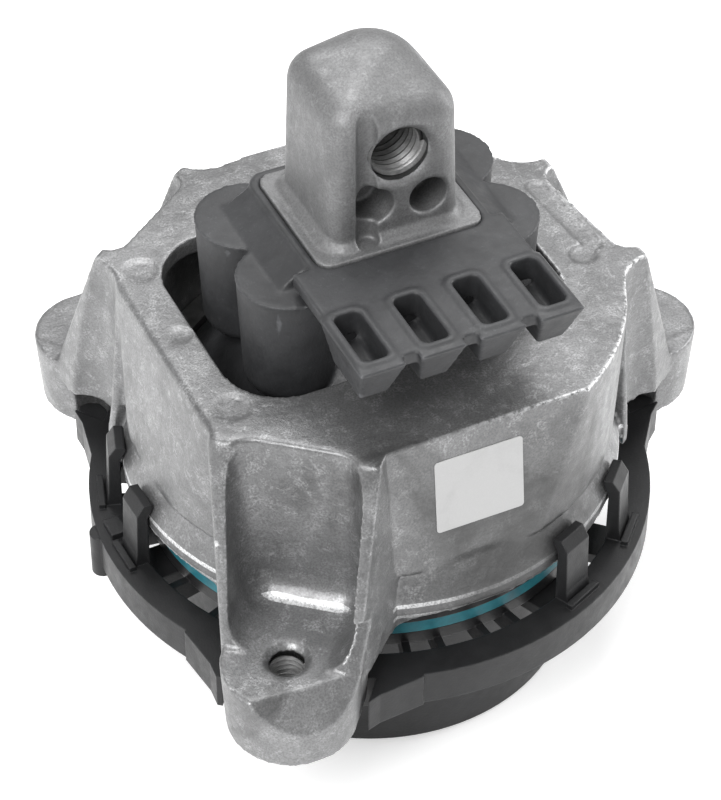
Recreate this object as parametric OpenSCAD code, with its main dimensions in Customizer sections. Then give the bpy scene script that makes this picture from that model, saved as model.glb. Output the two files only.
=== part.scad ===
// Hydraulic engine mount: a die-cast housing with three threaded feet, a core block carried
// by a rubber spring, and a clip-on plastic cover over the fluid chamber.
// Millimetres. +Z is up, the origin is on the mount's axis at the underside of the cover's cup.

/* [Housing] */
// Height of the housing's flat top above the base
top_z = 87; // [82:0.5:95]
// Thickness of the housing's top plate
top_t = 4.2; // [3:0.2:6]
// Radius of the housing's top outline
top_r = 51.4; // [50.5:0.2:54]
// Distance from the axis to the flat left wall at the top
left_flat = 45.6; // [44.5:0.2:47]
// Distance from the axis to the flat front wall at the top
front_flat = 44.6; // [43:0.2:46]
// Outer radius of the rim round the skirt that the cover clips on to
rim_r = 52; // [51.5:0.1:53]
// Height of the rim's underside
rim_z = 46; // [45:0.5:48]
// Height of the rim's upright edge
rim_h = 3.5; // [2.5:0.1:4.5]
// Radius of the bore that takes the rubber spring's ring
bore_r = 46; // [45:0.1:46.4]

/* [Opening] */
// Width of the opening in the top plate, left to right
opening_w = 73.4; // [70:0.2:76]
// Depth of the opening in the top plate, front to back
opening_d = 52.8; // [50:0.2:56]
// How far the opening's middle lies behind the axis
opening_y = 4.1; // [3:0.1:5]
// Corner radius of the opening
opening_r = 12.5; // [8:0.5:16]

/* [Feet] */
// Height of the plane that the feet bolt down on
seat_z = 32; // [30:0.5:34]
// Thickness of a foot at its threaded hole
foot_t = 16.5; // [14:0.5:18]
// Direction of the front foot's hole from the axis, in degrees
front_foot_a = -129.5; // [-132:0.5:-127]
// How far the front foot's hole stands outside the clip ring
front_foot_out = 7.3; // [7:0.1:8.5]
// Radius of the front foot's round nose
front_foot_r = 14; // [13:0.1:14.5]
// Direction of the right foot's hole from the axis, in degrees
right_foot_a = 6; // [4:0.5:8]
// Direction of the rear foot's hole from the axis, in degrees
rear_foot_a = 126; // [124:0.5:128]
// How far the right and rear feet's holes stand outside the clip ring
side_foot_out = 8.6; // [8:0.1:9.5]
// Radius of the right and rear feet's round noses
side_foot_r = 13.1; // [12:0.1:13.5]
// How much narrower a foot's nose is at its underside than at its top
foot_draft = 1; // [0.6:0.1:1.6]
// Thickness of the ribs that brace each foot
rib_t = 3; // [2.4:0.1:4]
// Radius of the tapped hole in each foot
foot_hole_r = 3.4; // [3:0.05:3.6]
// Radius of the countersink round each tapped hole
foot_sink_r = 4.9; // [4.4:0.1:5.4]

/* [Core block] */
// Width of the core block at its foot
block_w = 27.6; // [25:0.1:29]
// Depth of the core block at its foot
block_d = 25.4; // [23:0.1:27]
// Height of the block's crown above its flange plate
block_h = 34.8; // [33:0.1:37]
// Radius of the block's rounded top edges
block_top_r = 6; // [5:0.1:7]
// Radius of the block's upright corners
block_corner = 3.6; // [2.5:0.1:4.5]
// Height of the flange plate's top above the base
flange_z = 110; // [108:0.5:112]
// Thickness of the flange plate
flange_t = 4; // [3:0.2:5]
// Width of the flange plate
flange_w = 35.2; // [33:0.2:37]
// Depth of the flange plate
flange_d = 31.6; // [30:0.2:33]
// How far the core's middle lies behind the axis
core_y = 0.8; // [0:0.1:1.5]
// Radius of the tapped hole in the block's front face
core_hole_r = 5.3; // [4.8:0.05:5.6]
// Radius of the chamfered mouth of that hole
core_mouth_r = 6.8; // [6.2:0.1:6.9]
// Height of that hole above the flange plate
core_hole_h = 19; // [17.5:0.1:20]
// Depth of that hole from the front face
core_hole_depth = 19; // [15:0.5:21]

/* [Rubber] */
// Half the width over the rubber lobes
lobe_reach = 31.8; // [30.5:0.1:33]
// Radius of each rubber lobe at its rim
lobe_r = 10.3; // [9.5:0.1:10.8]
// Height of the lobes' rim
lobe_top_z = 105; // [103:0.5:105.5]
// Height of the lobes' lower ends
lobe_low_z = 79; // [77:0.5:81]
// Half the width of the rubber flap
flap_half_w = 22.6; // [22:0.1:24]
// Distance from the axis to the flap's front edge
flap_reach = 45.8; // [45:0.1:48]
// Thickness of the flap
flap_t = 3; // [2.6:0.1:4]
// Spacing of the flap's four pockets
pocket_pitch = 12.4; // [11.6:0.1:12.6]
// Width of each pocket
pocket_w = 5.5; // [4.5:0.1:6]
// Length of each pocket
pocket_l = 14; // [12:0.1:15]

/* [Fluid chamber] */
// Radius of the stack of nozzle plates and bellows bead
stack_r = 47.6; // [47:0.1:47.8]
// Thickness of the upper nozzle plate
upper_plate_t = 5; // [4:0.1:6]
// Thickness of the lower nozzle plate
lower_plate_t = 5; // [4:0.1:6]
// Thickness of the bellows' clamped bead
bead_t = 2.8; // [2.2:0.1:3.4]
// Radius of the decoupler membrane
membrane_r = 21; // [18:0.5:24]
// Thickness of the decoupler membrane
membrane_t = 2.4; // [2:0.1:3]

/* [Bottom cover] */
// Outer radius of the cup at its floor
cup_r = 43.5; // [42.5:0.1:44]
// Wall thickness of the cover
cover_wall = 2.4; // [2:0.1:3]
// Gap between the housing's rim and the clip ring
ring_gap = 0.9; // [0.7:0.1:1.5]
// Width of the clip ring
ring_w = 6.4; // [6:0.1:7]
// Height of the clip ring's underside
ring_z = 29; // [28:0.5:30]
// Height of the clip ring's outer wall
ring_h = 8.2; // [7.6:0.1:8.8]
// Width of each clip hook
hook_w = 7; // [6:0.2:9]
// Radius of the locating pin on the ring's left side
pin_r = 2.4; // [2:0.1:2.8]

/* [Label] */
// Width of the blank label on the front wall
label_w = 19; // [15:0.5:21]
// Height of the label
label_h = 17; // [13:0.5:18]

/* [Hidden] */
$fn = 96;
eps = 0.01;
fit_gap = 0.2;

// Heights that follow from the stack under the housing
step_z = rim_z + 4;
ring_seat_h = 12;
shoulder_z = rim_z + 8;
wall_foot_z = rim_z + 10;
lower_plate_z = step_z - upper_plate_t - lower_plate_t;
bead_z = lower_plate_z - bead_t;
cover_flange_z = bead_z;
cover_flange_t = 3.2;
foot_top_z = seat_z + foot_t;
ring_top_z = ring_z + ring_h;
ring_inner_r = rim_r + ring_gap;
ring_r = ring_inner_r + ring_w;
tunnel_roof_z = ring_top_z + 6.4;

// Each foot: its direction, how far out its hole is, its nose radius, how far out its ribs start at the
// top, the sideways places of its two ribs there, how far out the channel's back wall is at the top, the
// channel's fillet radius, whether its ribs meet the wall in hollow fillets, and how far its nose stands
// to the side of its hole
side_reach = ring_r + side_foot_out;
feet = [
    [front_foot_a, ring_r + front_foot_out, front_foot_r, top_r - 2.4, -20, 14.2, top_r - 3.5, 6, false, 0.9],
    [right_foot_a, side_reach, side_foot_r, top_r + 2, -19.8, 18.2, top_r - 1, 4, true, 0],
    [rear_foot_a, side_reach, side_foot_r, top_r + 2, -16.6, 18.2, top_r - 0.6, 4, true, 0]
];

// The left and front walls' lower edges stand outside their upper edges
wall_low_r = rim_r - 1.6;
left_low = rim_r - 2.8;
front_low = rim_r - 3.7;
wall_high_z = top_z - 1;
wall_low_z = wall_foot_z + 0.5;
wall_slope = (front_low - front_flat) / (top_z - wall_low_z);
left_slope = (left_low - left_flat) / (top_z - wall_low_z);
// Extra height that the housing's blank stands above its top until one flat cut trims it
trim_h = 1;

// Places and radii of the round marks that the mould's pins leave on the top plate
top_marks = [[-39.1, -19.9, 3.9], [-39.4, 25.6, 3.7], [-39.9, 3.7, 2.6], [44, -8.1, 3]];

module rounded_rect(w, d, r) {
    square([w - 2 * r, d], center = true);
    square([w, d - 2 * r], center = true);
    for (x = [-1, 1], y = [-1, 1])
        translate([x * (w / 2 - r), y * (d / 2 - r)])
            circle(r);
}

// Outline of the housing's walls at one height: a circle cut flat on the left and in front
module wall_outline(r, left, front) {
    intersection() {
        circle(r, $fn = 72);
        translate([-left, -front])
            square(3 * r);
    }
}

module housing_walls() {
    hull() {
        translate([0, 0, wall_high_z])
            linear_extrude(top_z + trim_h - wall_high_z)
                wall_outline(top_r, left_flat - trim_h * left_slope, front_flat - trim_h * wall_slope);
        translate([0, 0, wall_foot_z])
            linear_extrude(wall_low_z - wall_foot_z)
                wall_outline(wall_low_r, left_low, front_low);
    }
}

// The rim's section, turned about the axis: an upright edge with a sloping shoulder above it
module housing_rim() {
    rotate_extrude()
        polygon([
            [bore_r - 1, rim_z], [rim_r, rim_z], [rim_r, rim_z + rim_h],
            [rim_r - 2, shoulder_z], [rim_r - 3.2, wall_foot_z + 1], [bore_r - 1, wall_foot_z + 1]
        ]);
}

// Turns to a foot's direction: x runs outwards through its hole, y sideways
module at_foot(foot) {
    rotate([0, 0, foot[0]])
        children();
}

// Outline of a foot from inside the skirt to its round nose
module foot_plan(foot, grow = 0) {
    half = foot[2] + grow;
    inner = bore_r - 6;
    translate([foot[1], foot[9]])
        circle(half, $fn = 64);
    translate([inner, foot[9] - half])
        square([foot[1] - inner, 2 * half]);
}

// A foot with sides that lean in a little towards its underside
module foot_lug(foot) {
    translate([foot[1], 0, foot_top_z])
        mirror([0, 0, 1])
            linear_extrude(foot_t, scale = 1 - foot_draft / foot[2], slices = 1)
                translate([-foot[1], 0])
                    foot_plan(foot);
}

// Radius of the hollow fillets between a foot's ribs and the wall, and the places of their axes at the top
hollow_r = 9;
function hollow_v(foot, side) = side < 0 ? foot[4] - hollow_r : foot[5] + hollow_r;
function hollow_u(foot, side) = sqrt(pow(top_r + hollow_r + 0.1, 2) - pow(hollow_v(foot, side), 2));
function hollow_root(foot, side) = [hollow_u(foot, side), hollow_v(foot, side)] * top_r / (top_r + hollow_r);

// Two ribs run from the top plate's edge down onto the foot; the channel between them is cut out later
module foot_body(foot) {
    reach = foot[1];
    near = foot[2] - foot[9];
    far = foot[2] + foot[9];
    root = 5;
    // How much wider than its nose the foot is on each side where it leaves the skirt
    near_flare = foot[8] ? 14 : 6;
    far_flare = foot[8] ? 14 : 3;
    at_foot(foot) {
        foot_lug(foot);
        hull() {
            translate([0, 0, top_z - 2])
                linear_extrude(2 + 2 * trim_h)
                    polygon(concat(
                        [[40, foot[4]]], foot[8] ? [hollow_root(foot, -1)] : [], [[foot[3], foot[4]]],
                        [[foot[3], foot[5]]], foot[8] ? [hollow_root(foot, 1)] : [], [[40, foot[5]]]
                    ));
            translate([0, 0, foot_top_z - root])
                linear_extrude(root)
                    polygon([
                        [bore_r, -near - near_flare], [reach - 6, -near - 1.6], [reach, -near - 0.1],
                        [reach + 1.6, far - 0.6], [reach - 6, far + 0.2], [bore_r, far + far_flare]
                    ]);
        }
    }
}

// Hollow fillets beside a foot's ribs, leaning outwards and towards the foot on their way down
module rib_hollows(foot) {
    lean_out = 5;
    lean_in = 4.3;
    drop = 48;
    at_foot(foot)
        for (side = [-1, 1])
            translate([hollow_u(foot, side), hollow_v(foot, side), top_z])
                rotate([-side * lean_in, -lean_out, 0])
                    translate([0, 0, -drop])
                        cylinder(h = drop + 5, r = hollow_r, $fn = 64);
}

// Rounded notches in a foot's sides, where the clip ring's ears reach in
module ear_notches(foot) {
    notch_r = 5;
    at_foot(foot)
        for (side = [-1, 1])
            translate([ring_r + 1.2, side * foot[2], seat_z - 1])
                cylinder(h = tunnel_roof_z - seat_z + 1.5, r = notch_r, $fn = 40);
}

// The channel between a foot's ribs, rounded where its back wall meets the floor
module foot_channel(foot) {
    fillet = foot[7];
    slope = 0.8;
    floor_half = foot[2] - 1.6;
    low_z = foot_top_z + fillet - 0.2;
    at_foot(foot)
        hull()
            for (u = [0, 50]) {
                for (v = [foot[4] + rib_t, foot[5] - rib_t])
                    translate([foot[6] + fillet + u, v - sign(v) * fillet, top_z + 6])
                        sphere(fillet, $fn = 24);
                for (v = [-floor_half, floor_half])
                    translate([foot[6] + slope + fillet + u, v - sign(v) * fillet, low_z])
                        sphere(fillet, $fn = 24);
            }
}

// Slanted flat milled off the top edge of the front foot's nose
module nose_flat() {
    translate([-40.8, -60, foot_top_z])
        rotate([0, 0, -6])
            rotate([-36, 0, 0])
                translate([-20, -14, -14])
                    cube([40, 14, 24]);
}

// Ends of the skirt that reach down beside a foot, with arched undersides
module skirt_legs(foot) {
    arch_r = 11.2;
    leg_half = foot[2] + 9.8;
    leg_r = stack_r + 0.6;
    leg_t = rim_r - leg_r - 0.5;
    leg_low_z = seat_z + 1.5;
    at_foot(foot)
        difference() {
            intersection() {
                rotate_extrude()
                    translate([leg_r, leg_low_z])
                        square([leg_t, rim_z + 1.5 - leg_low_z]);
                translate([40, -leg_half, 0])
                    cube([20, 2 * leg_half, rim_z + 10]);
            }
            for (side = [-1, 1])
                translate([40, side * leg_half, leg_low_z + 0.5])
                    rotate([0, 90, 0])
                        cylinder(h = 20, r = arch_r, $fn = 48);
        }
}

module tapped_hole(depth, r, sink_r) {
    cylinder(h = depth, r = r);
    translate([0, 0, depth - (sink_r - r)])
        cylinder(h = sink_r - r + eps, r1 = r, r2 = sink_r + eps);
}

// Space under the top plate: a tapering chamber, then the bore that takes the spring's ring
module housing_hollow() {
    wall = 4.4;
    intersection() {
        translate([0, 0, step_z + ring_seat_h - eps])
            cylinder(h = top_z - top_t - step_z - ring_seat_h + eps, r1 = bore_r, r2 = top_r - 7.4);
        translate([wall - left_flat, wall - front_flat, 0])
            cube([3 * top_r, 3 * top_r, top_z]);
    }
    translate([0, 0, step_z])
        cylinder(h = ring_seat_h, r = bore_r);
    translate([0, 0, rim_z - 30])
        cylinder(h = step_z - rim_z + 30, r = stack_r + fit_gap);
}

// Clearance round the clip ring where it runs through the feet
module ring_tunnel() {
    inner_r = rim_r + 0.3;
    rotate_extrude()
        polygon([
            [inner_r, seat_z - 1], [ring_r + 0.8, seat_z - 1], [ring_r + 0.8, tunnel_roof_z - 2],
            [ring_r - 1.2, tunnel_roof_z], [inner_r + 2, tunnel_roof_z], [inner_r, tunnel_roof_z - 2]
        ]);
}

// Blank oblong recess in the top plate, right of the opening
module top_pill() {
    ends = [[45.6, 15.8], [47.4, -5.8]];
    half_w = 2.2;
    slope = ends[0] - ends[1];
    translate([ends[1][0], ends[1][1], top_z - 0.4]) {
        cylinder(h = 1, r = half_w, $fn = 32);
        rotate([0, 0, atan2(slope[1], slope[0])]) {
            translate([0, -half_w, 0])
                cube([norm(slope), 2 * half_w, 1]);
            translate([norm(slope), 0, 0])
                cylinder(h = 1, r = half_w, $fn = 32);
        }
    }
}

// The housing's outer form, its walls and ribs trimmed level with the top
module housing_blank() {
    span = 4 * top_r;
    difference() {
        union() {
            housing_walls();
            housing_rim();
            for (foot = feet) {
                foot_body(foot);
                skirt_legs(foot);
            }
        }
        translate([-span / 2, -span / 2, top_z])
            cube([span, span, 3 * trim_h]);
    }
}

module housing() {
    color("silver")
        difference() {
            housing_blank();
            housing_hollow();
            ring_tunnel();
            for (foot = feet) {
                foot_channel(foot);
                if (foot[8]) {
                    rib_hollows(foot);
                    ear_notches(foot);
                }
            }
            nose_flat();
            for (m = top_marks)
                translate([m[0], m[1], top_z - 0.4])
                    cylinder(h = 1, r = m[2], $fn = 40);
            top_pill();
            translate([0, opening_y, top_z - top_t - 1])
                linear_extrude(top_t + 2)
                    rounded_rect(opening_w, opening_d, opening_r);
            for (foot = feet)
                at_foot(foot)
                    translate([foot[1], 0, seat_z - eps])
                        tapped_hole(foot_t + 2 * eps, foot_hole_r, foot_sink_r);
        }
}

// Outline of the flange plate, which the rubber is moulded round
module flange_plate(grow = 0) {
    translate([0, core_y, flange_z - flange_t])
        linear_extrude(flange_t)
            rounded_rect(flange_w + 2 * grow, flange_d + 2 * grow, 3);
}

core_stem_z = flange_z - 40;
core_stem_top_r = 15;
core_stem_low_r = 9;

module core_stem() {
    translate([0, core_y, core_stem_z])
        cylinder(h = flange_z - flange_t - core_stem_z, r1 = core_stem_low_r, r2 = core_stem_top_r);
}

// Rough block: upright corners under a rounded crown that slopes off to the right
module block_columns() {
    facets = 40;
    crown_r = 12;
    // A faceted ball is slightly smaller across its middle, and the front face has to stay upright
    reach = block_top_r * cos(180 / facets);
    // How far each rounded top corner lies below the crown: left rear, left front, right rear, right front
    corner_drop = [[1.9, 3.3], [7, 4.7]];
    hull() {
        for (i = [0, 1], j = [0, 1]) {
            x = 2 * i - 1;
            y = 1 - 2 * j;
            translate([x * (block_w / 2 - block_corner), core_y + y * (block_d / 2 - block_corner), flange_z - 1])
                cylinder(h = 1, r = block_corner, $fn = facets);
            translate([
                x * (block_w / 2 - reach), core_y + y * (block_d / 2 - reach),
                flange_z + block_h - block_top_r - corner_drop[i][j]
            ])
                sphere(block_top_r, $fn = facets);
        }
        translate([1.5, core_y + 4.1, flange_z + block_h - crown_r])
            sphere(crown_r, $fn = facets);
    }
}

module core_block() {
    front_y = core_y - block_d / 2;
    color("darkgray")
        difference() {
            union() {
                block_columns();
                flange_plate();
                core_stem();
                translate([0, core_y, flange_z - eps])
                    linear_extrude(1.8, scale = 0.9, slices = 1)
                        rounded_rect(block_w + 3.2, block_d + 3.2, block_corner + 1.6);
            }
            translate([0.5, front_y + core_hole_depth, flange_z + core_hole_h])
                rotate([90, 0, 0])
                    tapped_hole(core_hole_depth + eps, core_hole_r, core_mouth_r);
            for (p = [[-4.8, 8.3], [6.5, 7.5]])
                translate([p[0], front_y + 8, flange_z + p[1]])
                    rotate([90, 0, 0])
                        cylinder(h = 10, r = 4);
            translate([-6.6, front_y, flange_z - eps])
                cylinder(h = block_h - 1, r = 2.3, $fn = 32);
        }
}

// One rubber lobe: a tapering column with a rounded lower end
module lobe(x, y) {
    low_r = lobe_r - 1;
    round_r = 3;
    translate([x, y, 0])
        rotate_extrude()
            polygon(concat(
                [[0, lobe_low_z], [low_r - round_r, lobe_low_z]],
                [for (a = [-75:15:0]) [low_r - round_r + round_r * cos(a), lobe_low_z + round_r + round_r * sin(a)]],
                [[lobe_r, lobe_top_z - 0.6], [lobe_r + 0.3, lobe_top_z], [0, lobe_top_z]]
            ));
}

// The flap's body round one pocket narrows towards its floor, its front face leaning back
module pocket_foot(x) {
    foot_h = 9.6;
    foot_l = 18.6;
    foot_w = pocket_pitch - 2.8;
    narrow = 0.65;
    still_y = 12.6;
    translate([x, still_y - flap_reach, flange_z - 0.5])
        mirror([0, 0, 1])
            linear_extrude(foot_h, scale = [0.6, narrow], slices = 1)
                translate([-foot_w / 2, -still_y])
                    square([foot_w, foot_l]);
}

module rubber_spring() {
    collar = 1.8;
    flap_x = -0.6;
    flap_top = flange_z - 0.4;
    lobe_x = lobe_reach - lobe_r;
    rear_y = core_y + 11.2;
    front_y = core_y - 8.8;
    pocket_y = -flap_reach + 3.4 + pocket_l / 2;
    rim = 1.2;
    color("dimgray")
        difference() {
            union() {
                translate([0, core_y, lobe_top_z - 1])
                    linear_extrude(flap_top - lobe_top_z + 1)
                        rounded_rect(flange_w + 2 * collar, flange_d + 2 * collar, 4);
                for (x = [-lobe_x, lobe_x]) {
                    lobe(x, rear_y);
                    lobe(x, front_y);
                }
                for (side = [0, 1])
                    mirror([side, 0, 0])
                        translate([0, front_y + 8, 0])
                            rotate([90, 0, 0])
                                translate([0, 0, -rear_y + front_y + 4])
                                    linear_extrude(rear_y - front_y + 8)
                                        polygon([
                                            [10, lobe_low_z + 3], [lobe_x, lobe_low_z + 3], [lobe_x + 4, lobe_top_z],
                                            [flange_w / 2 + 1, flap_top - 0.4], [10, flap_top - 1]
                                        ]);
                rotate_extrude()
                    polygon([
                        [0, step_z + 11], [13, step_z + 11], [32, step_z + 0.5], [bore_r - 5, step_z + 0.5],
                        [bore_r - 5, step_z + 10], [bore_r - 6.3, step_z + ring_seat_h], [bore_r - 9, step_z + 14],
                        [20.8, lobe_low_z + 5], [0, lobe_low_z + 5]
                    ]);
                translate([-17, core_y - 13, lobe_low_z + 2])
                    cube([34, 30, lobe_top_z - lobe_low_z - 2]);
                translate([flap_x - flap_half_w, 2.6 - flap_reach, flap_top - flap_t])
                    cube([2 * flap_half_w, flap_reach - 16, flap_t]);
                for (i = [-1.5:1:1.5]) {
                    pocket_foot(flap_x + i * pocket_pitch);
                    translate([flap_x + i * pocket_pitch, pocket_y, flap_top - eps])
                        linear_extrude(0.5)
                            rounded_rect(pocket_w + 2 * rim, pocket_l + 2 * rim, 2);
                }
            }
            for (i = [-1.5:1:1.5])
                translate([flap_x + i * pocket_pitch, pocket_y, flap_top - 6.4])
                    linear_extrude(12)
                        rounded_rect(pocket_w, pocket_l, 1.3);
            translate([0, core_y, flange_z - flange_t])
                linear_extrude(flange_t + 5)
                    rounded_rect(flange_w, flange_d, 3);
            core_stem();
        }
}

// Steel ring bonded to the outside of the rubber spring and pressed into the housing
module spring_ring() {
    color("slategray")
        rotate_extrude()
            polygon([
                [bore_r - 5, step_z], [bore_r - fit_gap, step_z], [bore_r - fit_gap, step_z + ring_seat_h],
                [bore_r - 5, step_z + ring_seat_h]
            ]);
}

membrane_z = lower_plate_z + lower_plate_t - membrane_t / 2;

module nozzle_plate_upper() {
    z0 = lower_plate_z + lower_plate_t;
    color("black")
        difference() {
            translate([0, 0, z0])
                cylinder(h = upper_plate_t, r = stack_r);
            translate([0, 0, z0 - eps])
                cylinder(h = membrane_t / 2 + 0.3, r = membrane_r + 0.5);
            for (a = [0:45:315])
                rotate(a)
                    translate([13, 0, z0 - eps])
                        cylinder(h = upper_plate_t + 1, r = 3.2);
            rotate_extrude(angle = 300)
                translate([34, z0 - eps])
                    square([5, 2.6]);
        }
}

module nozzle_plate_lower() {
    z0 = lower_plate_z;
    color("black")
        difference() {
            translate([0, 0, z0])
                cylinder(h = lower_plate_t, r = stack_r);
            translate([0, 0, z0 + lower_plate_t - membrane_t / 2 - 0.3])
                cylinder(h = membrane_t, r = membrane_r + 0.5);
            for (a = [0:45:315])
                rotate(a)
                    translate([13, 0, z0 - eps])
                        cylinder(h = lower_plate_t + 1, r = 3.2);
        }
}

module decoupler_membrane() {
    color("darkslategray")
        translate([0, 0, membrane_z])
            cylinder(h = membrane_t, r = membrane_r);
}

// Rolling diaphragm with a thick bead, clamped between the lower plate and the cover
module bellows() {
    wall = 1.6;
    // Heights of the fold and of the middle below the bead, and the radii where the fold turns
    fold_h = 11;
    side_h = 8;
    middle_h = 4;
    outer_r = cup_r - cover_wall - 3.2;
    fold_r = outer_r - 11;
    inner_r = fold_r - 6;
    middle_r = inner_r - 7;
    color("teal")
        rotate_extrude()
            polygon([
                [stack_r, bead_z], [stack_r, bead_z + bead_t], [outer_r - 1, bead_z + bead_t],
                [fold_r + 6, bead_z - side_h], [fold_r, bead_z - fold_h], [inner_r, bead_z - side_h],
                [middle_r, bead_z - middle_h], [0, bead_z - middle_h], [0, bead_z - middle_h - wall],
                [middle_r, bead_z - middle_h - wall], [inner_r, bead_z - side_h - wall],
                [fold_r, bead_z - fold_h - wall], [fold_r + 7, bead_z - side_h - wall], [outer_r, bead_z]
            ]);
}

// Clip hook standing on the ring, its head hooked over the sloping shoulder of the rim
module hook(angle) {
    rotate([0, 0, angle])
        rotate([90, 0, 0])
            translate([0, 0, -hook_w / 2])
                linear_extrude(hook_w)
                    polygon([
                        [rim_r + 0.5, ring_z + 3], [rim_r + 0.5, rim_z + rim_h],
                        [rim_r - 0.9, rim_z + rim_h + 2.6], [rim_r - 0.6, rim_z + rim_h + 3.4],
                        [rim_r + 1.2, rim_z + rim_h + 3.6], [rim_r + 2.8, rim_z + rim_h + 1.2],
                        [rim_r + 3.3, ring_top_z + 3], [rim_r + 4, ring_top_z - 1], [rim_r + 4, ring_z + 3]
                    ]);
}

hook_angles = [-66.2, -44, 162, 182, 54, 76];

// Directions of the thin webs that join the cup's flange to the ring
web_angles = [-107, -99, -88, -80, 26, 36, 90, 106, 150, 172, 193, 206];

// Ears of the ring that widen it beside each foot, clear of the foot itself
module ring_ears() {
    foot_gap = 0.7;
    // The ears' cut stops inside the ring's outer wall
    root = 0.8;
    translate([0, 0, ring_z])
        linear_extrude(ring_h)
            difference() {
                for (foot = feet)
                    at_foot(foot)
                        for (side = [0, 1])
                            mirror([0, side])
                                polygon([
                                    [ring_inner_r - 4, foot[2] + 8], [ring_inner_r - 2, foot[2] + 10.6],
                                    [ring_r - 4.7, foot[2] + 10.6], [ring_r - 1.3, foot[2] + 7],
                                    [ring_r + 2.1, foot[2] + 3.4], [ring_r + 5.4, foot[2] + 1.1],
                                    [ring_r + 5.4, foot[2]], [ring_inner_r, foot[2]]
                                ]);
                circle(ring_inner_r + 0.6);
                for (foot = feet)
                    at_foot(foot)
                        difference() {
                            foot_plan(foot, foot_gap);
                            rotate([0, 0, -foot[0]])
                                circle(ring_r - root);
                        }
            }
}

// A thin upright web from the cup's wall to the ring
module web(angle) {
    t = 1.6;
    web_top_z = cover_flange_z - cover_flange_t + 0.5;
    rotate([0, 0, angle])
        rotate([90, 0, 0])
            translate([0, 0, -t / 2])
                linear_extrude(t)
                    polygon([
                        [cup_r, ring_z + 1], [ring_r - 2, ring_z + 1], [ring_r - 2, ring_top_z - 2],
                        [ring_inner_r + 0.2, ring_top_z - 2], [stack_r - 1, web_top_z], [cup_r, web_top_z]
                    ]);
}

// The cup under the fluid chamber, with a flange that clamps the stack
module cup() {
    draft = 0.8;
    flange_low_z = cover_flange_z - cover_flange_t;
    rotate_extrude()
        polygon([
            [0, 0], [cup_r - 1.2, 0], [cup_r, 1.2], [cup_r + draft, flange_low_z],
            [stack_r, flange_low_z], [stack_r, cover_flange_z],
            [cup_r + draft - cover_wall, cover_flange_z], [cup_r - cover_wall, cover_wall], [0, cover_wall]
        ]);
}

// The clip ring: a flat top with an outer wall hanging from it
module clip_ring() {
    plate_t = 2.6;
    wall = 2.4;
    rotate_extrude()
        polygon([
            [ring_inner_r, ring_top_z - plate_t], [ring_r - wall, ring_top_z - plate_t], [ring_r - wall, ring_z],
            [ring_r, ring_z], [ring_r, ring_top_z], [ring_inner_r, ring_top_z]
        ]);
}

// Small upright pin on the ring's left side, beside a low block
module locating_pin() {
    pin_at = [1.2 - ring_r, 7.6];
    translate([pin_at[0], pin_at[1], ring_z - 3])
        cylinder(h = ring_h + 2.5, r = pin_r);
    translate([pin_at[0] + 1, pin_at[1] - 4, ring_top_z - eps])
        cube([3.4, 5, 1.6]);
}

module bottom_cover() {
    arm_t = 2.6;
    arm_w = hook_w + 2;
    bar_w = 1.4;
    hook_back = rim_r + 4;
    color("black") {
        cup();
        clip_ring();
        ring_ears();
        locating_pin();
        for (a = web_angles)
            web(a);
        for (a = hook_angles) {
            hook(a);
            rotate([0, 0, a]) {
                translate([cup_r, -arm_w / 2, ring_z + 1])
                    cube([hook_back - cup_r, arm_w, arm_t]);
                translate([hook_back + 0.1, -arm_w / 2, ring_top_z - eps])
                    cube([bar_w, arm_w, 1.2]);
            }
        }
    }
}

module label() {
    t = 0.15;
    label_z = 72.8;
    label_y = -front_flat - wall_slope * (top_z - label_z);
    color("white")
        translate([1.2, label_y, label_z])
            rotate([90 - atan(wall_slope), 0, 0])
                linear_extrude(t)
                    rounded_rect(label_w, label_h, 0.8);
}

housing();
core_block();
rubber_spring();
spring_ring();
nozzle_plate_upper();
nozzle_plate_lower();
decoupler_membrane();
bellows();
bottom_cover();
label();
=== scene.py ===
import math

import bmesh
import bpy
import numpy as np
from mathutils import Matrix, Vector


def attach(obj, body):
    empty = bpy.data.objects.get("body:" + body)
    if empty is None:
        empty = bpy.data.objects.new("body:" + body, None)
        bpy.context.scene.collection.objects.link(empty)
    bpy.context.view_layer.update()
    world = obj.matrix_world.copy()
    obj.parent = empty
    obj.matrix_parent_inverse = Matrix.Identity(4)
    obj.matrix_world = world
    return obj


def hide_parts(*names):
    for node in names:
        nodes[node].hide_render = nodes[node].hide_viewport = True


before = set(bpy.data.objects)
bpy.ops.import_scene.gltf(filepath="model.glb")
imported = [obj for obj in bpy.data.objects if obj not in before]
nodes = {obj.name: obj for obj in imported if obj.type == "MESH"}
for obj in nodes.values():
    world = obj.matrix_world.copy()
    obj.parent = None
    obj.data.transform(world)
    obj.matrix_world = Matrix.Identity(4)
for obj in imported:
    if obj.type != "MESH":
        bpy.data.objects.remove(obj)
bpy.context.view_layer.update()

MM = 0.001

# Photograph's camera, in degrees, metres and pixels
CAMERA_AZIMUTH = -25.64
CAMERA_ELEVATION = 42.21
CAMERA_ROLL = 0.25
CAMERA_TARGET = Vector((-4.36, -4.53, 62.72)) * MM
CAMERA_DISTANCE = 613.44 * MM
FOCAL_PIXELS = 3000
PHOTO_WIDTH = 721
SENSOR_WIDTH = 36

# Tapped holes, in millimetres; the feet's by direction in degrees and distance from the axis
CORE_HOLE = Vector((0.5, -11.9, 129))
CORE_HOLE_DEPTH = 19
CORE_HOLE_R = 5.3
CORE_PITCH = 1.5
FOOT_HOLES = {"front": (-129.5, 66.6), "right": (6, 67.9), "rear": (126, 67.9)}
FOOT_SEAT_Z = 32
FOOT_TOP_Z = 48.5
FOOT_HOLE_R = 3.4
FOOT_PITCH = 1.25

# Heights and radii of the band's edges round the housing's skirt, painted bright as rubbed wear and as a
# highlight, in millimetres
RIM_EDGE_ZS = (46.3, 49.2)
RIM_EDGE_HALF = 0.5
RIM_INNER_R = 51
RIM_OUTER_R = 53.2

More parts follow.
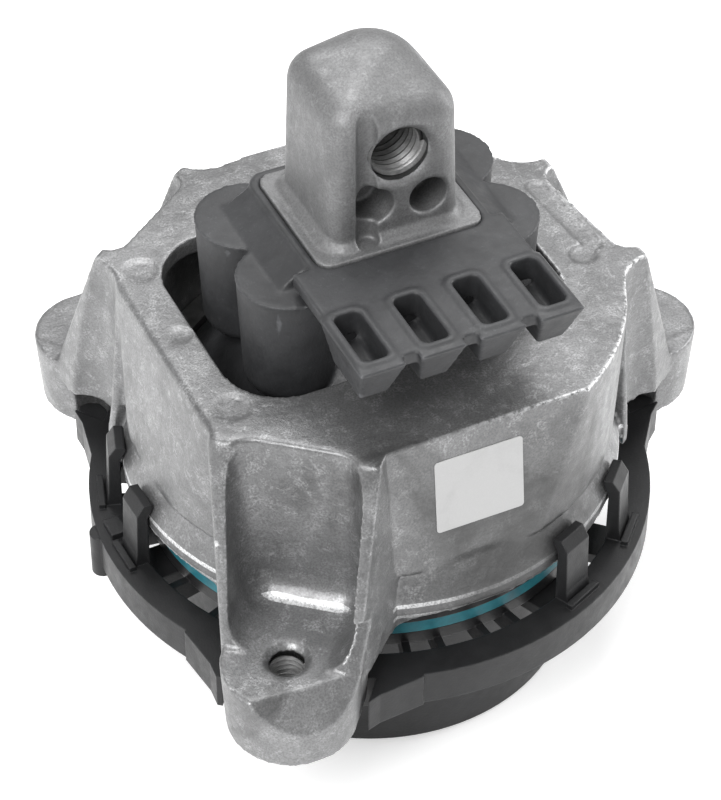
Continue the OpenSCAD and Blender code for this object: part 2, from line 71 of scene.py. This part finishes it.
# Height of the housing's flat top, and one above the whole mount, in millimetres
TOP_Z = 87
ABOVE_ALL_Z = 200

# Outer ends of the clip ring's ears beside a side foot, in millimetres: outline as outwards and sideways
# from the axis, then their heights
EAR_OUTLINE = [
    (57.4, 14.4), (61.4, 14.2), (64.2, 13.6), (64.6, 12.4),
    (63.6, 10.6), (61.4, 9.6), (59.2, 10.4), (57.4, 12.0),
]
EAR_LOW_Z = 29.05
EAR_HIGH_Z = 37.15


# Materials

class Tree:
    """A material's nodes, made one after another."""

    def __init__(self, name):
        self.material = bpy.data.materials.new(name)
        self.material.use_nodes = True
        self.tree = self.material.node_tree
        self.shader = self.tree.nodes["Principled BSDF"]
        self.coords = self.tree.nodes.new("ShaderNodeTexCoord").outputs["Object"]

    def node(self, kind, inputs=None, **settings):
        made = self.tree.nodes.new(kind)
        for key, value in settings.items():
            setattr(made, key, value)
        for key, value in (inputs or {}).items():
            self.feed(made.inputs[key], value)
        return made

    def feed(self, socket, value):
        if isinstance(value, bpy.types.NodeSocket):
            self.tree.links.new(value, socket)
        else:
            socket.default_value = value

    def stretched(self, scale):
        return self.node("ShaderNodeMapping", {"Vector": self.coords, "Scale": scale}).outputs["Vector"]

    def noise(self, scale, detail=4.0, roughness=0.6, distortion=0.0, vector=None):
        inputs = {
            "Vector": vector or self.coords, "Scale": scale, "Detail": detail,
            "Roughness": roughness, "Distortion": distortion,
        }
        return self.node("ShaderNodeTexNoise", inputs).outputs["Fac"]

    def ramp(self, value, low, high, out_low=0.0, out_high=1.0):
        inputs = {"Value": value, "From Min": low, "From Max": high, "To Min": out_low, "To Max": out_high}
        return self.node("ShaderNodeMapRange", inputs).outputs["Result"]

    def math(self, operation, a, b):
        made = self.node("ShaderNodeMath", {0: a, 1: b}, operation=operation, use_clamp=True)
        return made.outputs["Value"]

    def times(self, first, *others):
        """Product of masks, each from 0 to 1."""
        for other in others:
            first = self.math("MULTIPLY", first, other)
        return first

    def vector_math(self, operation, *vectors):
        made = self.node("ShaderNodeVectorMath", dict(enumerate(vectors)), operation=operation)
        return made.outputs["Value"]

    def mix(self, share, a, b):
        made = self.tree.nodes.new("ShaderNodeMix")
        made.data_type = "RGBA"
        self.feed(made.inputs["Factor"], share)
        self.feed(made.inputs["A"], a)
        self.feed(made.inputs["B"], b)
        return made.outputs["Result"]

    def bump(self, height, depth, normal=None):
        inputs = {"Height": height, "Distance": depth, "Strength": 1.0}
        if normal is not None:
            inputs["Normal"] = normal
        return self.node("ShaderNodeBump", inputs).outputs["Normal"]

    def pointiness(self, low, high, out_low=0.0, out_high=1.0):
        point = self.node("ShaderNodeNewGeometry").outputs["Pointiness"]
        return self.ramp(point, low, high, out_low, out_high)

    def bevel(self, radius):
        return self.node("ShaderNodeBevel", {"Radius": radius}, samples=6).outputs["Normal"]

    def finish(self, color, roughness, normal, metallic=0.0):
        self.feed(self.shader.inputs["Base Color"], color)
        self.feed(self.shader.inputs["Roughness"], roughness)
        self.feed(self.shader.inputs["Normal"], normal)
        self.feed(self.shader.inputs["Metallic"], metallic)
        return self.material


def grey(level, tint=(1.0, 1.0, 1.0)):
    return (level * tint[0], level * tint[1], level * tint[2], 1.0)


def cast_metal(name, dark, light, frost, stains, edge_brightness, front_wall_shade, deburred_z, waves, dull):
    """Die-cast aluminium: mottled skin with frosty flow marks, dark stains, bright worn edges, painted shade
    in the hollows and low on the front wall, and a painted highlight along the skirt band's edges.
    """
    tree = Tree(name)
    cool = (0.985, 0.99, 1.0)
    place = tree.node("ShaderNodeSeparateXYZ", {"Vector": tree.coords}).outputs
    grain = tree.noise(2300, 4, 0.65)

    # Mottled skin, frosted where the metal flowed, with dark grains and larger stains
    color = tree.mix(tree.ramp(tree.noise(55, 7, 0.62, 0.6), 0.32, 0.7), grey(dark, cool), grey(light, cool))
    flow = tree.ramp(tree.noise(320, 6, 0.75, 0.5), 0.5, 0.64)
    frosted = tree.times(flow, tree.ramp(grain, 0.42, 0.58, 0.2, frost))
    color = tree.mix(frosted, color, grey(light * 1.5, cool))
    color = tree.mix(tree.ramp(grain, 0.56, 0.4, 0.0, 0.45), color, grey(dark * 0.6, cool))
    stained = tree.times(tree.ramp(tree.noise(26, 6, 0.68, 0.9), 0.56, 0.72), stains)
    color = tree.mix(stained, color, grey(dark * 0.42))

    # Chipped edges, the scraped right part of the top edge, and painted shade darkening the hollows
    chips = tree.times(tree.pointiness(0.53, 0.6), tree.ramp(tree.noise(300, 5, 0.7), 0.38, 0.6, 0.0, edge_brightness))
    color = tree.mix(chips, color, grey(0.92, cool))
    scraped = tree.times(
        tree.pointiness(0.51, 0.55),
        tree.ramp(place["Z"], (deburred_z - 1.2) * MM, (deburred_z - 0.5) * MM),
        tree.ramp(tree.noise(900, 4, 0.7), 0.42, 0.55),
        tree.ramp(place["X"], -10 * MM, 12 * MM),
    )
    color = tree.mix(scraped, color, grey(0.95, cool))
    # Painted shade: concave hollows darkened
    color = tree.mix(tree.pointiness(0.44, 0.36, 0.0, 0.4), color, grey(dark * 0.35))

    # Bright lines on the edges of the band round the skirt: partly rubbed wear, partly a painted highlight
    # that stands in for the glint of the edges
    out = tree.vector_math("LENGTH", tree.stretched((1, 1, 0)))
    for edge_z in RIM_EDGE_ZS:
        at_edge = {0: place["Z"], 1: edge_z * MM, 2: RIM_EDGE_HALF * MM}
        brightened_edge = tree.times(
            tree.node("ShaderNodeMath", at_edge, operation="COMPARE").outputs["Value"],
            tree.ramp(out, RIM_INNER_R * MM, (RIM_INNER_R + 0.3) * MM),
            tree.ramp(out, RIM_OUTER_R * MM, (RIM_OUTER_R - 0.2) * MM),
            tree.ramp(grain, 0.35, 0.55, 0.2, 0.85),
        )
        color = tree.mix(brightened_edge, color, grey(0.8, cool))

    # Painted shade low on the front wall, right of the front foot, darker towards the bottom
    front_wall_shading = tree.times(
        tree.ramp(place["Y"], -39 * MM, -43 * MM),
        tree.ramp(place["Z"], TOP_Z * MM, (TOP_Z - 15) * MM),
        tree.ramp(place["X"], -20 * MM, -4 * MM),
        tree.ramp(tree.noise(60, 5, 0.65, 0.6), 0.3, 0.6, 0.5, 1.0),
        front_wall_shade,
    )
    color = tree.mix(front_wall_shading, color, grey(dark * 0.4))

    roughness = tree.ramp(tree.noise(420, 4, 0.6), 0.3, 0.7, dull, dull + 0.16)
    pitted = tree.bump(tree.noise(520, 5, 0.65, 0.4), 0.00011, tree.bump(grain, 0.00004))
    return tree.finish(color, roughness, tree.bump(tree.noise(90, 3, 0.5), waves, pitted), 0.62)


def machined_metal(name):
    """Cut aluminium of the tapped threads."""
    tree = Tree(name)
    marks = tree.noise(1.0, 3, 0.5, 0.0, tree.stretched((900, 900, 5200)))
    color = tree.mix(tree.ramp(marks, 0.3, 0.7), grey(0.26), grey(0.42))
    return tree.finish(color, tree.ramp(marks, 0.3, 0.7, 0.42, 0.58), tree.bump(marks, 0.00003), 0.75)


def rubber(name, level):
    """Moulded rubber, dull, with dust specks, edges greyed partly by dust and partly as a painted highlight,
    and faint handling marks.
    """
    tree = Tree(name)
    tint = (0.96, 0.98, 1.04)
    cloud = tree.noise(80, 6, 0.65, 0.5)
    specks = tree.noise(1500, 3, 0.6)
    color = tree.mix(tree.ramp(cloud, 0.35, 0.7), grey(level, tint), grey(level * 1.7, tint))
    dusty = tree.times(tree.ramp(specks, 0.6, 0.72), tree.ramp(cloud, 0.4, 0.65, 0.0, 0.5))
    color = tree.mix(dusty, color, grey(level * 4, tint))
    # Edges greyed: partly dust, partly a painted highlight on the edges
    edge_brightness = tree.times(tree.pointiness(0.525, 0.6), tree.ramp(tree.noise(220, 5, 0.7), 0.35, 0.65))
    color = tree.mix(edge_brightness, color, grey(level * 4.5, tint))
    roughness = tree.ramp(tree.noise(300, 4), 0.3, 0.7, 0.42, 0.62)
    normal = tree.bump(specks, 0.00004, tree.bump(tree.noise(240, 4, 0.6), 0.00012))
    return tree.finish(color, roughness, normal)


def plastic(name, level, edge_r):
    """Glass-filled black plastic with a fine spark-eroded grain and rubbed edges."""
    tree = Tree(name)
    tint = (0.97, 0.98, 1.03)
    edge = tree.bevel(edge_r)
    cloud = tree.noise(70, 5, 0.6)
    grain = tree.noise(2200, 2, 0.5)
    color = tree.mix(tree.ramp(cloud, 0.3, 0.7), grey(level * 0.8, tint), grey(level * 1.35, tint))
    flat = tree.node("ShaderNodeNewGeometry").outputs["Normal"]
    turned = tree.vector_math("DOT_PRODUCT", edge, flat)
    brightened_edge = tree.times(tree.ramp(turned, 0.97, 0.8), tree.ramp(tree.noise(260, 5, 0.7), 0.4, 0.65))
    color = tree.mix(brightened_edge, color, grey(level * 3.6, tint))
    roughness = tree.ramp(tree.noise(350, 4), 0.3, 0.7, 0.34, 0.5)
    tree.shader.inputs["Specular IOR Level"].default_value = 0.32
    return tree.finish(color, roughness, tree.bump(grain, 0.00004, edge))


def tinted_rubber(name, color_a, color_b):
    """Rubber of the membrane and the bellows, clouded between two colours."""
    tree = Tree(name)
    cloud = tree.noise(260, 5, 0.6)
    color = tree.mix(tree.ramp(cloud, 0.35, 0.65), color_a, color_b)
    return tree.finish(color, tree.ramp(cloud, 0.3, 0.7, 0.4, 0.6), tree.bump(tree.noise(1200), 0.00004))


def dull_steel(name):
    """Dull steel of the spring's ring, with marks along it."""
    tree = Tree(name)
    marks = tree.noise(1.0, 4, 0.6, 0.0, tree.stretched((300, 300, 3000)))
    color = tree.mix(tree.ramp(marks, 0.3, 0.7), grey(0.18), grey(0.34))
    return tree.finish(color, tree.ramp(marks, 0.3, 0.7, 0.35, 0.5), tree.bump(marks, 0.00003), 0.9)


def paper(name):
    """Blank label: white, a little grubby."""
    tree = Tree(name)
    smudge = tree.noise(110, 6, 0.7, 0.8)
    fibre = tree.noise(3000, 2, 0.5)
    color = tree.mix(tree.ramp(smudge, 0.52, 0.75, 0.0, 0.3), grey(0.46), grey(0.34))
    color = tree.mix(tree.ramp(fibre, 0.4, 0.7, 0.0, 0.12), color, grey(0.6))
    return tree.finish(color, tree.ramp(smudge, 0.3, 0.7, 0.35, 0.55), tree.bump(fibre, 0.00002))


housing_metal = cast_metal(
    "housing_casting", dark=0.16, light=0.27, frost=0.7, stains=0.8, edge_brightness=0.8, front_wall_shade=0.9, deburred_z=TOP_Z,
    waves=0.0003, dull=0.3,
)
# The block has no scraped edge, so its deburred height lies above it
core_metal = cast_metal(
    "core_casting", dark=0.18, light=0.22, frost=0.4, stains=0.2, edge_brightness=0.1, front_wall_shade=0.0, deburred_z=ABOVE_ALL_Z,
    waves=0.00005, dull=0.44,
)
thread_metal = machined_metal("cut_thread")
spring_rubber = rubber("spring_rubber", 0.024)
cover_plastic = plastic("cover_plastic", 0.014, 0.45 * MM)
plate_plastic = plastic("plate_plastic", 0.018, 0.3 * MM)
membrane_rubber = tinted_rubber("membrane_rubber", grey(0.03), grey(0.05))
bellows_rubber = tinted_rubber("bellows_rubber", (0.012, 0.13, 0.17, 1), (0.03, 0.24, 0.29, 1))
ring_steel = dull_steel("ring_steel")
label_paper = paper("label_paper")

CAD_FINISH = {
    "spring_ring": ring_steel,
    "nozzle_plate_upper": plate_plastic,
    "nozzle_plate_lower": plate_plastic,
    "decoupler_membrane": membrane_rubber,
    "bellows": bellows_rubber,
    "bottom_cover": cover_plastic,
    "label": label_paper,
}
for node_name, material in CAD_FINISH.items():
    cad = nodes[node_name]
    if not cad.material_slots:
        cad.data.materials.append(material)
    for place in cad.material_slots:
        place.material = material


# Pieces

def mesh_of(name, work):
    """Turns the work mesh into a mesh of its own and frees it."""
    mesh = bpy.data.meshes.new(name)
    work.to_mesh(mesh)
    work.free()
    return mesh


def new_object(name, mesh):
    made = bpy.data.objects.new(name, mesh)
    bpy.context.scene.collection.objects.link(made)
    return made


def ride(piece):
    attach(piece, "root")


def baked(piece):
    """Applies the modifiers of a piece to its mesh."""
    bpy.context.view_layer.update()
    graph = bpy.context.evaluated_depsgraph_get()
    mesh = bpy.data.meshes.new_from_object(piece.evaluated_get(graph), depsgraph=graph)
    piece.modifiers.clear()
    old = piece.data
    piece.data = mesh
    bpy.data.meshes.remove(old)


def weight_near(piece, start, end, reach):
    """Puts the vertices within reach of a line in a vertex group, weaker with distance. Millimetres."""
    count = len(piece.data.vertices)
    flat = np.empty(count * 3)
    piece.data.vertices.foreach_get("co", flat)
    points = flat.reshape(count, 3) / MM
    a, b = np.array(start, float), np.array(end, float)
    along = np.clip((points - a) @ (b - a) / max((b - a) @ (b - a), 1e-9), 0, 1)
    distance = np.linalg.norm(points - a - along[:, None] * (b - a), axis=1)
    grades = 8
    grade = np.ceil(np.clip(1 - distance / reach, 0, 1) * grades).astype(int)
    group = piece.vertex_groups.new(name="round")
    for k in range(1, grades + 1):
        group.add(np.flatnonzero(grade == k).tolist(), k / grades, "REPLACE")
    return group


SMOOTH_FACTOR = 0.5

# Corners of the CAD's faces that lie closer than this are one corner, in millimetres
WELD = 0.002


def softened(name, node, material, voxel, passes, most_triangles, wider_holes=(), rounder=()):
    """A node's form with its edges rounded as moulded or cast. It stands for that node."""
    mesh = nodes[node].data.copy()
    work = bmesh.new()
    work.from_mesh(mesh)
    bmesh.ops.remove_doubles(work, verts=work.verts, dist=WELD * MM)
    work.to_mesh(mesh)
    work.free()
    piece = new_object(name, mesh)
    remesh = piece.modifiers.new("remesh", "REMESH")
    remesh.mode = "VOXEL"
    remesh.voxel_size = voxel * MM
    smooth = piece.modifiers.new("smooth", "SMOOTH")
    smooth.factor = SMOOTH_FACTOR
    smooth.iterations = passes
    baked(piece)
    for start, end, reach, more_passes in rounder:
        group = weight_near(piece, start, end, reach)
        more = piece.modifiers.new("more", "SMOOTH")
        more.factor = SMOOTH_FACTOR
        more.iterations = more_passes
        more.vertex_group = group.name
        baked(piece)
        piece.vertex_groups.clear()
    triangles = sum(len(face.vertices) - 2 for face in piece.data.polygons)
    if triangles > most_triangles:
        thin = piece.modifiers.new("thin", "DECIMATE")
        thin.ratio = most_triangles / triangles
        baked(piece)
    for axis_point, axis, radius, length in wider_holes:
        cut_hole(piece, axis_point, axis, radius, length)
    piece.data.materials.clear()
    piece.data.materials.append(material)
    piece.data.shade_smooth()
    ride(piece)
    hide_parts(node)


def turned_to(axis, origin):
    """Matrix that takes +Z to an axis and the origin to a point in millimetres."""
    turn = Vector((0, 0, 1)).rotation_difference(Vector(axis)).to_matrix().to_4x4()
    return Matrix.Translation(Vector(origin) * MM) @ turn


def cut_hole(piece, origin, axis, radius, length):
    """Widens a hole so that its thread's roots fit."""
    work = bmesh.new()
    bmesh.ops.create_cone(
        work, cap_ends=True, segments=72, radius1=radius * MM, radius2=radius * MM, depth=length * MM,
        matrix=turned_to(axis, origin) @ Matrix.Translation((0, 0, length * MM / 2)),
    )
    mesh = mesh_of("cutter", work)
    cutter = new_object("cutter", mesh)
    cut = piece.modifiers.new("cut", "BOOLEAN")
    cut.object = cutter
    cut.operation = "DIFFERENCE"
    cut.solver = "EXACT"
    baked(piece)
    bpy.data.objects.remove(cutter)
    bpy.data.meshes.remove(mesh)


def round_row(work, radius, z, count):
    """Vertices on a circle about the axis, in millimetres."""
    turns = [2 * math.pi * k / count for k in range(count)]
    return [work.verts.new(Vector((radius * math.cos(t), radius * math.sin(t), z)) * MM) for t in turns]


def wall_between(work, low, high):
    """Closed band of faces between two rows with as many vertices."""
    for k in range(len(low)):
        n = (k + 1) % len(low)
        work.faces.new((low[k], low[n], high[n], high[k]))


# A thread's section over one pitch: place along the axis, and 1 at the crest or 0 at the root
THREAD_PROFILE = [(0.0, 1.0), (0.12, 1.0), (0.44, 0.0), (0.56, 0.0), (0.88, 1.0)]
THREAD_STEPS = 64
THREAD_SLEEVE = 0.08
THREAD_RUN_OUT = 0.7


def thread(name, origin, axis, crest_r, root_r, pitch, length, lead_in):
    """A tapped thread's helical surface, backed by a thin sleeve. It runs along the axis from its origin."""
    steps = THREAD_STEPS
    turns = int(length / pitch)
    work = bmesh.new()
    rows = []
    for k in range(turns * steps + 1):
        angle = 2 * math.pi * k / steps
        run_out = min(1.0, (turns * steps - k) / (THREAD_RUN_OUT * steps))
        row = []
        for along, inward in THREAD_PROFILE:
            z = pitch * k / steps + along * pitch - pitch / 2
            if not 0 <= z <= length:
                inward = 0.0
            z = min(max(z, 0.0), length)
            fade = min(1.0, max(0.0, (length - z) / lead_in)) * run_out
            r = root_r - (root_r - crest_r) * inward * fade
            row.append(work.verts.new(Vector((r * math.cos(angle), r * math.sin(angle), z)) * MM))
        rows.append(row)
    for k in range(len(rows) - 1):
        for j in range(len(THREAD_PROFILE) - 1):
            work.faces.new((rows[k][j], rows[k + 1][j], rows[k + 1][j + 1], rows[k][j + 1]))
    for k in range(len(rows) - 1 - steps):
        work.faces.new((rows[k][-1], rows[k + 1][-1], rows[k + 1 + steps][0], rows[k + steps][0]))
    sleeve_r = root_r + THREAD_SLEEVE
    wall_between(work, round_row(work, sleeve_r, 0, steps), round_row(work, sleeve_r, length, steps))
    bmesh.ops.transform(work, matrix=turned_to(axis, origin), verts=work.verts)
    bmesh.ops.recalc_face_normals(work, faces=work.faces)
    mesh = mesh_of(name, work)
    mesh.materials.append(thread_metal)
    mesh.shade_smooth()
    ride(new_object(name, mesh))


def at_foot(word, outwards, sideways, height):
    """A point in millimetres, given along a foot's direction and across it."""
    angle = math.radians(FOOT_HOLES[word][0])
    return (outwards * math.cos(angle) - sideways * math.sin(angle),
            outwards * math.sin(angle) + sideways * math.cos(angle), height)


def foot_hole(word, height):
    return at_foot(word, FOOT_HOLES[word][1], 0, height)


# Edges of the housing that are rounded more than the rest: two ends and the reach round them in
# millimetres, then the smoothing passes
ROUNDER = [
    ((-45.6, -24, TOP_Z), (-45.6, 20, TOP_Z), 7, 60),
    ((-45.6, 23.6, TOP_Z), (-49, 25, 57), 6, 50),
    (at_foot("front", 47.9, -16, TOP_Z), at_foot("front", 47.9, 10.5, TOP_Z), 4.5, 30),
    (at_foot("front", 52, 13.5, 58), at_foot("front", 61, 13.2, FOOT_TOP_Z), 4, 25),
    (at_foot("front", 62, -13.5, FOOT_TOP_Z), at_foot("front", 66, -13, FOOT_TOP_Z), 3, 15),
]
UP = (0, 0, 1)
FORWARDS = (0, -1, 0)


def in_core_hole(depth):
    """A point on the core hole's axis at a depth below its mouth, in millimetres."""
    return (CORE_HOLE.x, CORE_HOLE.y + depth, CORE_HOLE.z)


# Each wider hole: a point on its axis, the axis, its radius and its length
foot_t = FOOT_TOP_Z - FOOT_SEAT_Z
foot_cuts = [(foot_hole(word, FOOT_SEAT_Z - 1), UP, FOOT_HOLE_R + 0.6, foot_t - 0.6) for word in FOOT_HOLES]
core_cuts = [(in_core_hole(CORE_HOLE_DEPTH), FORWARDS, CORE_HOLE_R + 0.75, CORE_HOLE_DEPTH - 0.8)]
softened(
    "housing_body", "housing", housing_metal, voxel=0.5, passes=4, most_triangles=185000,
    wider_holes=foot_cuts, rounder=ROUNDER,
)
softened(
    "core_body", "core_block", core_metal, voxel=0.4, passes=5, most_triangles=120000,
    wider_holes=core_cuts,
)
softened(
    "spring_body", "rubber_spring", spring_rubber, voxel=0.45, passes=5,
    most_triangles=150000,
)

thread(
    "core_thread", in_core_hole(CORE_HOLE_DEPTH - 0.5), FORWARDS, crest_r=CORE_HOLE_R - 0.15,
    root_r=CORE_HOLE_R + 0.7, pitch=CORE_PITCH, length=CORE_HOLE_DEPTH - 1.4, lead_in=0.6,
)
for word in FOOT_HOLES:
    thread(
        word + "_foot_thread", foot_hole(word, FOOT_SEAT_Z + 0.4), UP, crest_r=FOOT_HOLE_R - 0.05,
        root_r=FOOT_HOLE_R + 0.55, pitch=FOOT_PITCH, length=foot_t - 1.6, lead_in=0.5,
    )


def ear_tip(name, word, side):
    """Outer end of one of the clip ring's ears, inside the notch of a side foot."""
    work = bmesh.new()
    low, high = [
        [work.verts.new(Vector(at_foot(word, x, y * side, z)) * MM) for x, y in EAR_OUTLINE]
        for z in (EAR_LOW_Z, EAR_HIGH_Z)
    ]
    wall_between(work, low, high)
    work.faces.new(low)
    work.faces.new(high)
    bmesh.ops.recalc_face_normals(work, faces=work.faces)
    mesh = mesh_of(name, work)
    mesh.materials.append(cover_plastic)
    ride(new_object(name, mesh))


for word in ("right", "rear"):
    for side, side_word in ((-1, "near"), (1, "far")):
        ear_tip(word + "_" + side_word + "_ear_tip", word, side)


# Floor, light and camera

def emission_for_camera(tree, shader, strength):
    """Adds a glow that only the camera and mirror or glass rays see, so that the floor reads as white."""
    rays = tree.tree.nodes.new("ShaderNodeLightPath").outputs
    seen = tree.math("MAXIMUM", rays["Is Camera Ray"],
                     tree.math("MAXIMUM", rays["Is Glossy Ray"], rays["Is Transmission Ray"]))
    glow = tree.node("ShaderNodeEmission", {"Color": grey(1.0), "Strength": tree.times(seen, strength)})
    both = tree.tree.nodes.new("ShaderNodeAddShader")
    tree.tree.links.new(shader, both.inputs[0])
    tree.tree.links.new(glow.outputs["Emission"], both.inputs[1])
    output = tree.tree.nodes["Material Output"]
    tree.tree.links.new(both.outputs["Shader"], output.inputs["Surface"])


def make_floor():
    """Pale floor just under the mount."""
    half = 3.0
    drop = 0.2 * MM
    work = bmesh.new()
    bmesh.ops.create_grid(work, x_segments=1, y_segments=1, size=half)
    mesh = mesh_of("floor", work)
    floor = new_object("floor", mesh)
    floor.location.z = -drop
    tree = Tree("floor_paint")
    tone = tree.noise(6, 2)
    tree.finish(tree.mix(tree.ramp(tone, 0.3, 0.7), grey(0.8), grey(0.84)), 0.9, tree.bump(tone, 0.0001))
    emission_for_camera(tree, tree.shader.outputs["BSDF"], 0.42)
    mesh.materials.append(tree.material)


def area_light(name, place, aim, size, power):
    """Soft rectangular lamp. Places and sizes are in metres, its power in watts."""
    data = bpy.data.lights.new(name, "AREA")
    data.shape = "RECTANGLE"
    data.size, data.size_y = size
    data.energy = power
    lamp = bpy.data.objects.new(name, data)
    bpy.context.scene.collection.objects.link(lamp)
    lamp.location = place
    lamp.rotation_mode = "QUATERNION"
    lamp.rotation_quaternion = (Vector(aim) - Vector(place)).to_track_quat("-Z", "Y")


def make_world():
    """Grey studio that the camera sees as white."""
    world = bpy.data.worlds.new("studio")
    bpy.context.scene.world = world
    world.use_nodes = True
    tree = world.node_tree
    background = tree.nodes["Background"]
    rays = tree.nodes.new("ShaderNodeLightPath")
    mixed = tree.nodes.new("ShaderNodeMix")
    mixed.data_type = "RGBA"
    mixed.inputs["A"].default_value = grey(0.55)
    mixed.inputs["B"].default_value = grey(1.0)
    tree.links.new(rays.outputs["Is Camera Ray"], mixed.inputs["Factor"])
    tree.links.new(mixed.outputs["Result"], background.inputs["Color"])


def make_camera():
    """Camera at the photograph's angle."""
    a, e, r = map(math.radians, (CAMERA_AZIMUTH, CAMERA_ELEVATION, CAMERA_ROLL))
    back = Vector((math.sin(a) * math.cos(e), -math.cos(a) * math.cos(e), math.sin(e)))
    right = Vector((math.cos(a), math.sin(a), 0))
    up = back.cross(right)
    turned_right = right * math.cos(r) + up * math.sin(r)
    turned_up = up * math.cos(r) - right * math.sin(r)
    data = bpy.data.cameras.new("camera")
    data.sensor_fit = "HORIZONTAL"
    data.sensor_width = SENSOR_WIDTH
    data.lens = SENSOR_WIDTH * FOCAL_PIXELS / PHOTO_WIDTH
    data.clip_start, data.clip_end = 0.01, 20
    camera = bpy.data.objects.new("camera", data)
    bpy.context.scene.collection.objects.link(camera)
    matrix = Matrix((turned_right, turned_up, back)).transposed().to_4x4()
    matrix.translation = CAMERA_TARGET + back * CAMERA_DISTANCE
    camera.matrix_world = matrix
    bpy.context.scene.camera = camera


make_floor()
make_world()
make_camera()
area_light("key", (-0.68, -0.48, 0.95), (0, 0, 0.07), (0.55, 0.7), 12)
area_light("left_box", (-1.15, 0.2, 0.5), (0, 0, 0.07), (0.6, 0.9), 2)
area_light("right_box", (1.1, -0.15, 0.5), (0, 0, 0.06), (0.5, 0.8), 7.5)
area_light("right_rear", (0.42, 0.42, 0.5), (0.02, 0, 0.08), (0.3, 0.3), 0.3)
area_light("overhead", (0.2, 0.45, 1.2), (0, 0, 0.07), (0.9, 0.7), 11)
bpy.context.scene.view_settings.view_transform = "Standard"
